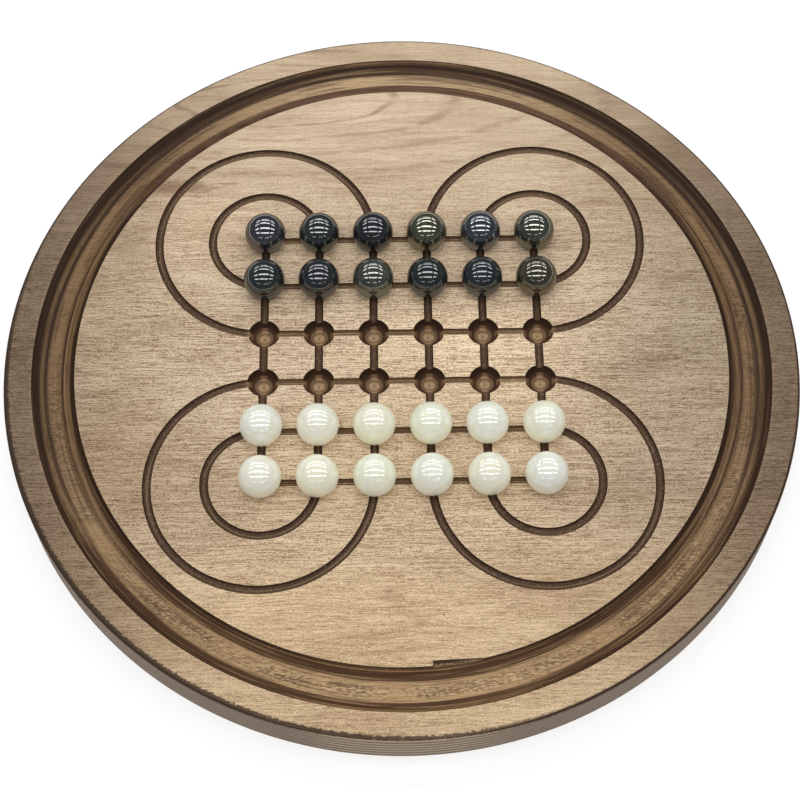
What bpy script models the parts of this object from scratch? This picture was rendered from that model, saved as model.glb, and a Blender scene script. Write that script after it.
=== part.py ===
"""A round plywood board for a loop-track capture game, with two sets of glass marbles.

The disc is one piece of plywood. Ball-nosed cutters have left a square of sockets in its
face, a shallow line through each row and column of sockets, two loops round each corner
socket, and a trough near the rim that holds captured marbles. The marbles are loose: each
one rests on the edge of its socket and lifts straight out.

The origin is the middle of the underside. +Z is up, the face grain runs along X, and the
dark marbles are on the +Y side. Units are metres.
"""

import math

import bmesh
import bpy
from mathutils import Matrix, Vector

# The square of sockets
GRID_SOCKETS = 6
GRID_PITCH = 0.0212
SOCKET_MOUTH = 0.012
ROOM_UNDER_MARBLE = 0.0019

# The grooves that join the sockets
LINE_DEPTH = 0.0014
ACROSS_GRAIN_WIDTH = 0.0031
ALONG_GRAIN_WIDTH = 0.0025
LOOP_WIDTH = 0.0032
LOOP_PITCHES = (1, 2)
LOOP_TURN = math.radians(270)

# The disc, from the outermost loops to the rim
FIELD_MARGIN = 0.0065
TROUGH_WIDTH = 0.0165
TROUGH_DEPTH = 0.0033
RIM_WIDTH = 0.0106
BOARD_THICKNESS = 0.018
EDGE_ROUND = 0.0012

# The marbles
MARBLE_DIAMETER = 0.016
SEAT_GAP = 0.0003
FILLED_ROWS = 2

# How finely the round shapes are cut, and how far cutters reach past the face
DISC_STEPS = 72
SOCKET_STEPS = 12
LINE_STEPS = 12
TROUGH_ARC_STEPS = 6
SOCKET_ARC_STEPS = 3
EDGE_ARC_STEPS = 2
LOOP_STEP_LENGTH = 0.0065
MARBLE_SEGMENTS = 12
MARBLE_RINGS = 8
CUTTER_REACH = 0.002
MERGE_DISTANCE = 0.00001
FLAT_ANGLE = math.radians(0.5)
SMOOTH_ANGLE = math.radians(30)

PLYWOOD = ("plywood", (0.50, 0.34, 0.19, 1.0), 0.55)
DARK_GLASS = ("dark_glass", (0.03, 0.035, 0.04, 1.0), 0.08)
PALE_GLASS = ("pale_glass", (0.80, 0.79, 0.72, 1.0), 0.10)


def clear_scene():
    """Removes whatever the file holds."""
    for item in list(bpy.data.objects):
        bpy.data.objects.remove(item, do_unlink=True)


def new_collection(name):
    """A collection of that name, in the scene."""
    made = bpy.data.collections.new(name)
    bpy.context.scene.collection.children.link(made)
    return made


def new_object(name, data, collection):
    """An object that shows the given mesh or curve, in the collection."""
    made = bpy.data.objects.new(name, data)
    collection.objects.link(made)
    return made


def new_cutter(name, data, collection):
    """An object that only cuts: it is drawn as wire and isn't rendered."""
    made = new_object(name, data, collection)
    made.hide_render = True
    made.display_type = "WIRE"
    return made


def new_material(name, colour, roughness):
    """A plain, non-metallic Principled material."""
    made = bpy.data.materials.new(name)
    made.use_nodes = True
    shader = made.node_tree.nodes["Principled BSDF"]
    shader.inputs["Base Color"].default_value = colour
    shader.inputs["Roughness"].default_value = roughness
    shader.inputs["Metallic"].default_value = 0.0
    return made


def arc(centre, radius, start, end, steps):
    """Points of an arc in the X-Z plane, as (x, z), from one angle to another."""
    angles = (start + (end - start) * i / steps for i in range(steps + 1))
    return [(centre[0] + radius * math.cos(a), centre[1] + radius * math.sin(a)) for a in angles]


def tool_radius(width, depth):
    """Radius of the ball-nosed cutter that leaves a groove of this width at this depth."""
    return (width * width / 4 + depth * depth) / (2 * depth)


def grid_place(column, row):
    """Where a socket is, counted from the far left corner."""
    middle = (GRID_SOCKETS - 1) / 2
    return Vector(((column - middle) * GRID_PITCH, (middle - row) * GRID_PITCH, BOARD_THICKNESS))


def grid_reach():
    """Distance from the board's middle to the outermost row or column of sockets."""
    return (GRID_SOCKETS - 1) / 2 * GRID_PITCH


def trough_inner_radius():
    """The trough starts a margin outside the widest loops."""
    corner = math.hypot(grid_reach(), grid_reach())
    return corner + max(LOOP_PITCHES) * GRID_PITCH + LOOP_WIDTH / 2 + FIELD_MARGIN


def board_radius():
    """The disc's radius, with the rim outside the trough."""
    return trough_inner_radius() + TROUGH_WIDTH + RIM_WIDTH


def marble_height():
    """Height of a resting marble's middle above the face, clear of the socket's edge."""
    reach = MARBLE_DIAMETER / 2 + SEAT_GAP
    return math.sqrt(reach * reach - SOCKET_MOUTH * SOCKET_MOUTH / 4)


def socket_depth():
    """A socket goes as deep as the marble sinks, with room left under it."""
    radius = MARBLE_DIAMETER / 2
    sink = radius - math.sqrt(radius * radius - SOCKET_MOUTH * SOCKET_MOUTH / 4)
    return sink + ROOM_UNDER_MARBLE


def trough_profile():
    """The trough's cove, as (x, z), from its inner edge to its outer edge."""
    radius = tool_radius(TROUGH_WIDTH, TROUGH_DEPTH)
    half_angle = math.asin(TROUGH_WIDTH / 2 / radius)
    centre = (trough_inner_radius() + TROUGH_WIDTH / 2, BOARD_THICKNESS - TROUGH_DEPTH + radius)
    down = -math.pi / 2
    return arc(centre, radius, down - half_angle, down + half_angle, TROUGH_ARC_STEPS)


def board_profile():
    """Half of the disc's section, as (x, z), from the middle of the face down to the underside."""
    inset = board_radius() - EDGE_ROUND
    top = arc((inset, BOARD_THICKNESS - EDGE_ROUND), EDGE_ROUND, math.pi / 2, 0, EDGE_ARC_STEPS)
    bottom = arc((inset, EDGE_ROUND), EDGE_ROUND, 0, -math.pi / 2, EDGE_ARC_STEPS)
    return [(0, BOARD_THICKNESS), *trough_profile(), *top, *bottom, (0, 0)]


def socket_profile():
    """Half of a socket cutter's section, as (x, z) about the face, from its top to its tip.

    The cutter has flat sides, so it is widened until their middles lie on the true bowl.
    """
    mouth, depth = SOCKET_MOUTH / 2, socket_depth()
    radius = tool_radius(SOCKET_MOUTH, depth)
    start = -math.asin((radius - depth) / radius)
    bowl = arc((0, radius - depth), radius, start, -math.pi / 2, SOCKET_ARC_STEPS)
    widen = 1 / math.cos(math.pi / SOCKET_STEPS)
    side = [(mouth, CUTTER_REACH), (mouth, 0), *bowl[1:-1]]
    return [(0, CUTTER_REACH), *((x * widen, z) for x, z in side), (0, -depth)]


def profile_mesh(name, points):
    """A mesh of edges only, through (x, z) points in order."""
    made = bpy.data.meshes.new(name)
    edges = [(i, i + 1) for i in range(len(points) - 1)]
    made.from_pydata([(x, 0, z) for x, z in points], edges, [])
    return made


def add_screw(item, steps):
    """Turns the object's profile once round its Z axis."""
    screw = item.modifiers.new("turn", "SCREW")
    screw.steps = steps
    screw.render_steps = steps
    screw.use_merge_vertices = True
    screw.merge_threshold = MERGE_DISTANCE


def evaluated_mesh(item):
    """The object's mesh as its modifiers or its bevel leave it, with doubled points welded."""
    graph = bpy.context.evaluated_depsgraph_get()
    made = bpy.data.meshes.new_from_object(item.evaluated_get(graph))
    shape = bmesh.new()
    shape.from_mesh(made)
    bmesh.ops.remove_doubles(shape, verts=shape.verts, dist=MERGE_DISTANCE)
    bmesh.ops.recalc_face_normals(shape, faces=shape.faces)
    shape.to_mesh(made)
    shape.free()
    return made


def cut_sockets(cutters):
    """One turned cutter for each socket, all with the same mesh."""
    pattern = new_cutter("socket_pattern", profile_mesh("socket", socket_profile()), cutters)
    add_screw(pattern, SOCKET_STEPS)
    bowl = evaluated_mesh(pattern)
    bpy.data.objects.remove(pattern)
    for row in range(GRID_SOCKETS):
        for column in range(GRID_SOCKETS):
            cutter = new_cutter(f"socket_cutter_{row + 1}_{column + 1}", bowl, cutters)
            cutter.location = grid_place(column, row)


def line_mesh(name, width):
    """A rod along X, as long as the grid, that cuts a groove of this width."""
    made = bpy.data.meshes.new(name)
    shape = bmesh.new()
    radius = tool_radius(width, LINE_DEPTH)
    half_facet = Matrix.Rotation(math.pi / LINE_STEPS, 4, "Z")
    lay_down = Matrix.Rotation(math.pi / 2, 4, "Y")
    bmesh.ops.create_cone(
        shape,
        cap_ends=True,
        segments=LINE_STEPS,
        radius1=radius,
        radius2=radius,
        depth=2 * grid_reach(),
        matrix=lay_down @ half_facet,
    )
    shape.to_mesh(made)
    shape.free()
    return made


def groove_height(width):
    """Height of a groove cutter's middle line."""
    return BOARD_THICKNESS - LINE_DEPTH + tool_radius(width, LINE_DEPTH)


def cut_lines(cutters):
    """A groove through each row and each column of sockets."""
    along = line_mesh("line_along_grain", ALONG_GRAIN_WIDTH)
    across = line_mesh("line_across_grain", ACROSS_GRAIN_WIDTH)
    for i in range(GRID_SOCKETS):
        row = new_cutter(f"row_cutter_{i + 1}", along, cutters)
        row.location = (0, grid_place(0, i).y, groove_height(ALONG_GRAIN_WIDTH))
        column = new_cutter(f"column_cutter_{i + 1}", across, cutters)
        column.location = (grid_place(i, 0).x, 0, groove_height(ACROSS_GRAIN_WIDTH))
        column.rotation_euler = (0, 0, math.pi / 2)


def loop_curve(name, radius):
    """A tube round three quarters of a circle in the X-Y plane, open towards -X -Y."""
    made = bpy.data.curves.new(name, "CURVE")
    made.dimensions = "3D"
    made.bevel_depth = tool_radius(LOOP_WIDTH, LINE_DEPTH)
    made.bevel_resolution = 2
    made.use_fill_caps = True
    steps = math.ceil(LOOP_TURN * radius / LOOP_STEP_LENGTH)
    spline = made.splines.new("POLY")
    spline.points.add(steps)
    for i, point in enumerate(spline.points):
        angle = -math.pi / 2 + LOOP_TURN * i / steps
        point.co = (radius * math.cos(angle), radius * math.sin(angle), 0, 1)
    return made


def cut_loops(cutters):
    """The loops round each corner socket, each from one side of the grid to the other."""
    for pitches in LOOP_PITCHES:
        pattern = new_cutter("loop_pattern", loop_curve("loop", pitches * GRID_PITCH), cutters)
        tube = evaluated_mesh(pattern)
        bpy.data.objects.remove(pattern)
        for quarter in range(4):
            turn = quarter * math.pi / 2
            corner = Matrix.Rotation(turn, 3, "Z") @ Vector((grid_reach(), grid_reach(), 0))
            cutter = new_cutter(f"loop_cutter_{pitches}_{quarter + 1}", tube, cutters)
            cutter.location = (corner.x, corner.y, groove_height(LOOP_WIDTH))
            cutter.rotation_euler = (0, 0, turn)


def shade_round(mesh):
    """Smooth shading, with the real edges kept sharp."""
    mesh.shade_smooth()
    mesh.set_sharp_from_angle(angle=SMOOTH_ANGLE)


def make_board(parts, cutters):
    """The turned disc, cut by every cutter."""
    disc = new_object("disc_pattern", profile_mesh("disc", board_profile()), cutters)
    add_screw(disc, DISC_STEPS)
    flatten = disc.modifiers.new("flatten", "DECIMATE")
    flatten.decimate_type = "DISSOLVE"
    flatten.angle_limit = FLAT_ANGLE
    blank = evaluated_mesh(disc)
    bpy.data.objects.remove(disc)

    board = new_object("board", blank, parts)
    cut = board.modifiers.new("cut", "BOOLEAN")
    cut.operation = "DIFFERENCE"
    cut.operand_type = "COLLECTION"
    cut.collection = cutters
    cut.solver = "EXACT"
    shade_round(board.data)
    board.data.materials.append(new_material(*PLYWOOD))


def marble_mesh(name, material):
    """A glass ball about its own middle."""
    made = bpy.data.meshes.new(name)
    shape = bmesh.new()
    bmesh.ops.create_uvsphere(
        shape,
        u_segments=MARBLE_SEGMENTS,
        v_segments=MARBLE_RINGS,
        radius=MARBLE_DIAMETER / 2,
    )
    shape.to_mesh(made)
    shape.free()
    shade_round(made)
    made.materials.append(material)
    return made


def make_marbles(parts):
    """Dark marbles on the far rows and pale ones on the near rows, each over its socket."""
    dark = marble_mesh("dark_marble", new_material(*DARK_GLASS))
    pale = marble_mesh("pale_marble", new_material(*PALE_GLASS))
    far_rows = range(FILLED_ROWS)
    near_rows = range(GRID_SOCKETS - FILLED_ROWS, GRID_SOCKETS)
    for kind, mesh, rows in (("dark", dark, far_rows), ("pale", pale, near_rows)):
        for row in rows:
            for column in range(GRID_SOCKETS):
                marble = new_object(f"{kind}_marble_{row + 1}_{column + 1}", mesh, parts)
                marble.location = grid_place(column, row) + Vector((0, 0, marble_height()))


def main():
    """Builds the board, its cutters and its marbles."""
    clear_scene()
    parts = new_collection("loop_track_board")
    cutters = new_collection("cutters")
    cut_sockets(cutters)
    cut_lines(cutters)
    cut_loops(cutters)
    make_board(parts, cutters)
    make_marbles(parts)


main()
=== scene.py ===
"""Looks of a round plywood board for a loop-track capture game, with two sets of glass marbles.

The board is one disc of thirteen-ply birch with a stained, lacquered face. Every cut in it shows the
plies: along the grain they are light, across it they are dark, and the cutter has scorched their top
edges. The marbles are loose glass balls, one to a socket.

Lengths are in metres unless a name ends in _mm.
"""

from __future__ import annotations

import logging
import math
import random
from dataclasses import dataclass, field
from enum import Enum
from typing import Any, Iterable, Mapping, Sequence, Union

import bmesh
import bpy
from mathutils import Matrix, Vector, noise

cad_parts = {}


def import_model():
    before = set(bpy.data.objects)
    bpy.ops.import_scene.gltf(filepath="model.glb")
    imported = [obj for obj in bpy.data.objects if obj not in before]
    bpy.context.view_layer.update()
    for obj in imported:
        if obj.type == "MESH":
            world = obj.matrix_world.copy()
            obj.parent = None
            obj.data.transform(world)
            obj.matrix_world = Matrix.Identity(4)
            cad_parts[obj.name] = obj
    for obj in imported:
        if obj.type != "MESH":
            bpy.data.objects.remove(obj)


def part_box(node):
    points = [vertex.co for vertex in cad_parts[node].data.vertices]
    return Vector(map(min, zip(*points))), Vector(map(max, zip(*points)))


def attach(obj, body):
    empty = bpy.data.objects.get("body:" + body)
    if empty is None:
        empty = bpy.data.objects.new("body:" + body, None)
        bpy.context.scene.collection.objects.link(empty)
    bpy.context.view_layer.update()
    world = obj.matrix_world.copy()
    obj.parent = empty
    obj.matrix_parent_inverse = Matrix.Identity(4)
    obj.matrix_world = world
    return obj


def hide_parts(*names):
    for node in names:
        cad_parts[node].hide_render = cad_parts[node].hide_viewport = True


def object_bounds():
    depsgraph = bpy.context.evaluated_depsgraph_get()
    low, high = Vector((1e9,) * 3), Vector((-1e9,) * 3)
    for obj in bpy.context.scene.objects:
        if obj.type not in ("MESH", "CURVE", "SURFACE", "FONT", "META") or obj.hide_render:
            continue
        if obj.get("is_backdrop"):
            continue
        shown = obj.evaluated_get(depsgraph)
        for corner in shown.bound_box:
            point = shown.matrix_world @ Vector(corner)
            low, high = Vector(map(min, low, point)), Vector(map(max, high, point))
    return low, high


LOG = logging.getLogger("loop_track_board")
MM = 0.001
WHITE = (1.0, 1.0, 1.0)

Colour = tuple[float, float, float]
Socket = bpy.types.NodeSocket
Points = list[tuple[float, float]]


# --- Shader helpers


def shade_of(red: float, green: float, blue: float) -> Colour:
    """Turns a display colour of 0 to 255 into the linear colour that a shader takes.

    Args:
        red: The red channel as a display shows it.
        green: The green channel.
        blue: The blue channel.

    Returns:
        The linear colour, each channel from 0 to 1.
    """

    def linear(channel: float) -> float:
        """One channel, by the standard display curve."""
        share = channel / 255
        return share / 12.92 if share <= 0.04045 else ((share + 0.055) / 1.055) ** 2.4

    return linear(red), linear(green), linear(blue)


class Signal:
    """A number that varies over a surface. Its operators add Math nodes."""

    def __init__(self, graph: "Graph", socket: Socket) -> None:
        """Wraps an output socket of a graph."""
        self.graph = graph
        self.socket = socket

    def math(self, operation: str, *values: "Number") -> "Signal":
        """Adds a Math node.

        Args:
            operation: The Math node's operation.
            values: Its inputs, in order.

        Returns:
            The node's result.
        """
        made = self.graph.node("ShaderNodeMath", {"operation": operation}, dict(enumerate(values)))
        return Signal(self.graph, made.outputs[0])

    def __add__(self, other: "Number") -> "Signal":
        """self + other."""
        return self.math("ADD", self, other)

    __radd__ = __add__

    def __sub__(self, other: "Number") -> "Signal":
        """self - other."""
        return self.math("SUBTRACT", self, other)

    def __rsub__(self, other: "Number") -> "Signal":
        """other - self."""
        return self.math("SUBTRACT", other, self)

    def __mul__(self, other: "Number") -> "Signal":
        """self * other."""
        return self.math("MULTIPLY", self, other)

    __rmul__ = __mul__

    def __truediv__(self, other: "Number") -> "Signal":
        """self / other."""
        return self.math("DIVIDE", self, other)

    def __rtruediv__(self, other: "Number") -> "Signal":
        """other / self."""
        return self.math("DIVIDE", other, self)

    def __mod__(self, other: "Number") -> "Signal":
        """The remainder, always from 0 to other."""
        return self.math("FLOORED_MODULO", self, other)

    def __abs__(self) -> "Signal":
        """The size of self, without its sign."""
        return self.math("ABSOLUTE", self)

    def floor(self) -> "Signal":
        """The whole number at or below self."""
        return self.math("FLOOR", self)

    def at_least(self, other: "Number") -> "Signal":
        """The larger of self and other."""
        return self.math("MAXIMUM", self, other)

    def at_most(self, other: "Number") -> "Signal":
        """The smaller of self and other."""
        return self.math("MINIMUM", self, other)

    def rises(self, low: float, high: float) -> "Signal":
        """A smooth step.

        Args:
            low: Where the step starts.
            high: Where the step ends.

        Returns:
            0 below low, 1 above high, and a smooth rise between.
        """
        settings = {"interpolation_type": "SMOOTHSTEP", "clamp": True}
        inputs = {"Value": self, "From Min": low, "From Max": high}
        made = self.graph.node("ShaderNodeMapRange", settings, inputs)
        return Signal(self.graph, made.outputs["Result"])

    def falls(self, low: float, high: float) -> "Signal":
        """A smooth step down: 1 below low, 0 above high."""
        return 1 - self.rises(low, high)

    def near(self, middle: "Number", reach: float) -> "Signal":
        """1 where self is at middle, falling to 0 at reach from it."""
        return abs(self - middle).falls(0, reach)


Number = Union[Signal, float, int]
Link = Union[Signal, Socket, float, int, Sequence[float]]
Layer = tuple[Number, Link]


class Graph:
    """The nodes of a material or a world."""

    def __init__(self, owner: bpy.types.Material | bpy.types.World) -> None:
        """Empties the owner's nodes."""
        self.owner = owner
        owner.use_nodes = True
        self.tree = owner.node_tree
        self.tree.nodes.clear()

    def node(
        self,
        kind: str,
        settings: Mapping[str, Any] | None = None,
        inputs: Mapping[Any, Link] | None = None,
    ) -> bpy.types.Node:
        """Adds one node.

        Args:
            kind: The node's type.
            settings: Its own settings, set before its sockets.
            inputs: A value or a link for each socket, by name, identifier or number.

        Returns:
            The new node.
        """
        made = self.tree.nodes.new(kind)
        for name, value in (settings or {}).items():
            setattr(made, name, value)
        for key, value in (inputs or {}).items():
            socket = made.inputs[key] if isinstance(key, int) else self.find(made.inputs, key)
            if isinstance(value, Signal):
                value = value.socket
            if isinstance(value, Socket):
                self.tree.links.new(value, socket)
            elif socket.type == "RGBA" and len(value) == 3:
                socket.default_value = (*value, 1.0)
            else:
                socket.default_value = value
        return made

    @staticmethod
    def find(sockets: Iterable[Socket], key: str) -> Socket:
        """The socket whose identifier or else whose name is key."""
        sockets = list(sockets)
        by_identifier = [socket for socket in sockets if socket.identifier == key]
        return (by_identifier or [socket for socket in sockets if socket.name == key])[0]

    def coordinates(self, kind: str) -> Socket:
        """A Texture Coordinate output, such as Object or Normal."""
        return self.node("ShaderNodeTexCoord").outputs[kind]

    def turned_place(self, seed: int) -> Socket:
        """Place in millimetres, turned and shifted differently for each seed.

        Args:
            seed: What the turn and the shift are drawn from.

        Returns:
            The place.
        """
        draw = random.Random(seed)
        turn = [draw.uniform(0, 2 * math.pi) for _ in range(3)]
        shift = [draw.uniform(0, 100) for _ in range(3)]
        inputs = {"Location": shift, "Rotation": turn, "Scale": (1 / MM,) * 3}
        inputs["Vector"] = self.coordinates("Object")
        return self.node("ShaderNodeMapping", None, inputs).outputs[0]

    def split(self, vector: Socket) -> tuple[Signal, Signal, Signal]:
        """The three components of a vector."""
        made = self.node("ShaderNodeSeparateXYZ", None, {0: vector})
        return tuple(Signal(self, output) for output in made.outputs)

    def joined(self, x: Number, y: Number, z: Number) -> Socket:
        """A vector made of three numbers."""
        return self.node("ShaderNodeCombineXYZ", None, {0: x, 1: y, 2: z}).outputs[0]

    def vector(self, operation: str, first: Link, second: Link) -> Socket:
        """A Vector Math node's vector result."""
        inputs = {0: first, 1: second}
        return self.node("ShaderNodeVectorMath", {"operation": operation}, inputs).outputs[0]

    def length(self, vector: Socket) -> Signal:
        """A vector's length."""
        made = self.node("ShaderNodeVectorMath", {"operation": "LENGTH"}, {0: vector})
        return Signal(self, made.outputs["Value"])

    def mix(self, share: Number, first: Link, second: Link, blend: str = "MIX") -> Socket:
        """Blends two colours.

        Args:
            share: How much of the second colour is taken, from 0 to 1.
            first: The colour where share is 0.
            second: The colour where share is 1.
            blend: The way of blending.

        Returns:
            The blended colour.
        """
        settings = {"data_type": "RGBA", "blend_type": blend}
        inputs = {"Factor_Float": share, "A_Color": first, "B_Color": second}
        return self.find(self.node("ShaderNodeMix", settings, inputs).outputs, "Result_Color")

    def noise(
        self,
        place: Socket,
        size: Sequence[float],
        detail: float = 2,
        rough: float = 0.5,
        bend: float = 0,
    ) -> Signal:
        """Soft noise whose blobs have the given size along each axis.

        Args:
            place: The vector that the noise is read at.
            size: The size of a blob along X, Y and Z, in the vector's own units.
            detail: How many finer layers are added.
            rough: How strong the finer layers are.
            bend: How far the noise is pushed about by itself.

        Returns:
            A number about 0.5, mostly from 0.25 to 0.75.
        """
        inputs = {"Scale": 1.0, "Detail": detail, "Roughness": rough, "Distortion": bend}
        inputs["Vector"] = self.vector("DIVIDE", place, tuple(size))
        return Signal(self, self.node("ShaderNodeTexNoise", None, inputs).outputs[0])

    def layered(self, base: Link, *layers: Layer, blend: str = "MIX") -> Socket:
        """Lays colours over a base, one after another.

        Args:
            base: The colour underneath.
            layers: How much of each colour is laid, from 0 to 1, and the colour.
            blend: The way of blending.

        Returns:
            The colour on top.
        """
        for share, shade in layers:
            base = self.mix(share, base, shade, blend)
        return base

    def finish(self, **inputs: Link) -> bpy.types.Material:
        """Adds the Principled shader and the output.

        Args:
            inputs: The shader's sockets, with _ for a space in their names.

        Returns:
            The finished material.
        """
        named = {name.replace("_", " "): value for name, value in inputs.items()}
        shader = self.node("ShaderNodeBsdfPrincipled", None, named)
        self.node("ShaderNodeOutputMaterial", None, {"Surface": shader.outputs[0]})
        return self.owner

    def for_camera(self, share: float, others: bpy.types.Node, camera: bpy.types.Node) -> Socket:
        """Gives the camera's own view a shader of its own.

        Args:
            share: How much of that shader the camera sees, from 0 to 1.
            others: The shader that all other light meets.
            camera: The shader for the camera.

        Returns:
            The mixed shader.
        """
        seen = Signal(self, self.node("ShaderNodeLightPath").outputs["Is Camera Ray"]) * share
        inputs = {0: seen, 1: others.outputs[0], 2: camera.outputs[0]}
        return self.node("ShaderNodeMixShader", None, inputs).outputs[0]

    def bump(self, height_mm: Number) -> Socket:
        """A normal that is tilted by a height in millimetres."""
        inputs = {"Strength": 1.0, "Distance": MM, "Height": height_mm}
        return self.node("ShaderNodeBump", None, inputs).outputs[0]


# --- Sizes that the board, its marbles and its finish share


@dataclass(frozen=True)
class Layout:
    """The board's main sizes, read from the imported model."""

    top: float
    radius: float
    pitch: float
    sockets: int = 6

    @classmethod
    def of_frame(cls) -> "Layout":
        """Reads the sizes from the CAD nodes' boxes.

        Returns:
            The sizes.
        """
        board_low, board_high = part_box("board")
        first_low, first_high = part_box("dark_marble_1_1")
        next_low, next_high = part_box("dark_marble_1_2")
        pitch = (next_low + next_high - first_low - first_high).x / 2
        return cls(top=board_high.z, radius=(board_high.x - board_low.x) / 2, pitch=pitch)

    @property
    def reach(self) -> float:
        """From the board's middle to the outermost row of sockets."""
        return (self.sockets - 1) / 2 * self.pitch

    def place(self, column: int, row: int) -> Vector:
        """Where a socket's middle is on the face, counted from the far left."""
        middle = (self.sockets - 1) / 2
        return Vector(((column - middle) * self.pitch, (middle - row) * self.pitch, self.top))


# --- Where a point of the board is


class Wood:
    """Where a point of the plywood is, in millimetres, and how the grain runs there."""

    def __init__(self, graph: Graph, layout: Layout, finish: "PlywoodFinish") -> None:
        """Works out the place, the ply and the grain.

        Args:
            graph: The graph to add to.
            layout: The board's main sizes.
            finish: The plywood's finish, for its plies.
        """
        self.graph = graph
        self.layout = layout
        self.edge = layout.radius / MM
        self.ply = layout.top / MM / finish.plies
        self.place = graph.vector("MULTIPLY", graph.coordinates("Object"), (1 / MM,) * 3)
        self.x, self.y, self.z = graph.split(self.place)
        self.radius = graph.length(graph.joined(self.x, self.y, 0))
        self.depth = (layout.top / MM - self.z).at_least(0.001)
        sag = (self.noise((30, 30, 90), 1) - 0.5) * finish.sag_mm
        lean = self.y * (finish.tilt_mm / self.edge) + sag
        self.layer = ((self.depth - lean) / self.ply).at_least(0.01).at_most(finish.plies - 0.01)
        index = self.layer.floor()
        self.odd = index % 2
        along = self.x + (self.y - self.x) * self.odd
        across = self.y + (self.x - self.y) * self.odd
        wave = (self.noise((30, 16, 60)) - 0.5) * finish.wave_mm
        self.grain = graph.joined(along, across + wave, self.depth + index * finish.ply_shift_mm)

    def noise(self, size: Sequence[float], detail: float = 2, rough: float = 0.5) -> Signal:
        """Noise that takes no notice of the grain."""
        return self.graph.noise(self.place, size, detail, rough)

    def fibres(
        self, size: Sequence[float], detail: float = 2, rough: float = 0.5, bend: float = 0
    ) -> Signal:
        """Noise drawn out along the grain. Its size is along the grain, across it and through it."""
        return self.graph.noise(self.grain, size, detail, rough, bend)


class CutSurface:
    """A point on a cut: its textures, and from 0 to 1 how much it belongs to each cut."""

    def __init__(self, wood: Wood, sizes: "CutSizes") -> None:
        """Works out the textures and the shares.

        Each cut gives way to the next over the last numbers here, in millimetres.

        Args:
            wood: The place in the plywood.
            sizes: The sizes of what is cut into the board.
        """
        graph, radius, edge = wood.graph, wood.radius, wood.edge
        self.torn = wood.noise((1.3, 1.3, 0.5), 3, 0.65)
        self.pores = wood.noise((0.30, 0.30, 0.30), 2, 0.6)
        self.streaks = wood.fibres((10, 0.5, 0.5), 3, 0.6)
        self.ragged = wood.noise((0.8, 0.8, 0.8), 3, 0.7) - 0.5

        nx, ny, _ = graph.split(graph.coordinates("Normal"))
        into_grain = nx * nx + (ny * ny - nx * nx) * wood.odd
        self.steep = (nx * nx + ny * ny + (self.torn - 0.5) * 0.1).rises(0.02, 0.42)
        self.end = (into_grain + (self.torn - 0.5) * 0.06).rises(0.004, 0.075)

        inner = sizes.trough_inner(wood.layout) / MM
        self.middle = inner + sizes.trough_width / 2 / MM
        self.side = radius.rises(edge - 0.6, edge - 0.2)
        self.rim_edge = radius.rises(edge - 2.5, edge - 2.0)
        self.field = radius.falls(inner - 1.0, inner - 0.5)
        self.trough = radius.rises(inner - 1.0, inner - 0.5) * (1 - self.rim_edge)
        self.outer_wall = radius.rises(self.middle, self.middle + 2) * self.trough
        self.inner_wall = radius.falls(self.middle - 2, self.middle) * self.trough
        near_end = wood.y.falls(-105, -20)
        self.flank = (abs(wood.x) / radius).rises(0.12, 0.8) * self.trough * (1 - near_end * 0.6)

        from_x, self.from_y, in_grid = self.around_socket(wood)
        self.from_middle = graph.length(graph.joined(from_x, self.from_y, 0))
        bowl = BallNose(sizes.socket_mouth, sizes.socket_depth).radius / MM
        over_face = bowl - sizes.socket_depth / MM
        from_ball = graph.length(graph.joined(from_x, self.from_y, wood.depth + over_face))
        self.socket = from_ball.falls(bowl + 0.10, bowl + 0.20) * in_grid
        groove = self.field * (1 - self.socket)
        row_line = abs(self.from_y).falls(1.8, 2.6) * in_grid
        self.row_groove = groove * row_line
        self.charred = groove * (1 - row_line)

    @staticmethod
    def around_socket(wood: Wood) -> tuple[Signal, Signal, Signal]:
        """Where a place is from the nearest socket's middle.

        Args:
            wood: The place in the plywood.

        Returns:
            The distance along X and along Y, and 1 on the grid of sockets and 0 off it.
        """
        pitch = wood.layout.pitch / MM
        half = wood.layout.sockets / 2
        from_x = ((wood.x / pitch + half) % 1 - 0.5) * pitch
        from_y = ((wood.y / pitch + half) % 1 - 0.5) * pitch
        edge = wood.layout.reach / MM + 6
        in_grid = abs(wood.x).falls(edge, edge + 1.5) * abs(wood.y).falls(edge, edge + 1.5)
        return from_x, from_y, in_grid


# --- Finishes


@dataclass(frozen=True)
class Patch:
    """A soft ellipse on the face."""

    middle_mm: tuple[float, float]
    half_mm: tuple[float, float]

    def outward(self, wood: Wood) -> Signal:
        """0 at its middle, 1 on its edge and more outside."""
        u = (wood.x - self.middle_mm[0]) / self.half_mm[0]
        v = (wood.y - self.middle_mm[1]) / self.half_mm[1]
        return wood.graph.length(wood.graph.joined(u, v, 0))


@dataclass(frozen=True)
class ToneSpot(Patch):
    """A patch of the face that is lighter or darker than the rest."""

    shade: Colour


@dataclass(frozen=True)
class Blotch(Patch):
    """A ragged brown mark, such as a small knot."""

    depth: float

    def share(self, wood: Wood, ragged: Signal) -> Signal:
        """How brown the mark is, with its edge pushed about by ragged."""
        return (self.outward(wood) + ragged * 1.6).falls(0.35, 1.15) * self.depth


@dataclass(frozen=True)
class GrainFigure(Patch):
    """Nested growth lines, as stretched ellipses."""

    rings: tuple[float, ...]
    strength: float
    wander: float
    line: float

    def share(self, wood: Wood, drift: Signal) -> Signal:
        """How dark the lines are.

        Args:
            wood: The place in the plywood.
            drift: Noise about 0 that the lines wander by.

        Returns:
            The lines' strength, 0 between them. The outer ones are wider and fainter.
        """
        ring = self.outward(wood) + drift * self.wander
        return sum(
            ring.near(level, self.line * (1 + 0.3 * i)) * (self.strength / (1 + 0.35 * i))
            for i, level in enumerate(self.rings)
        )


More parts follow.
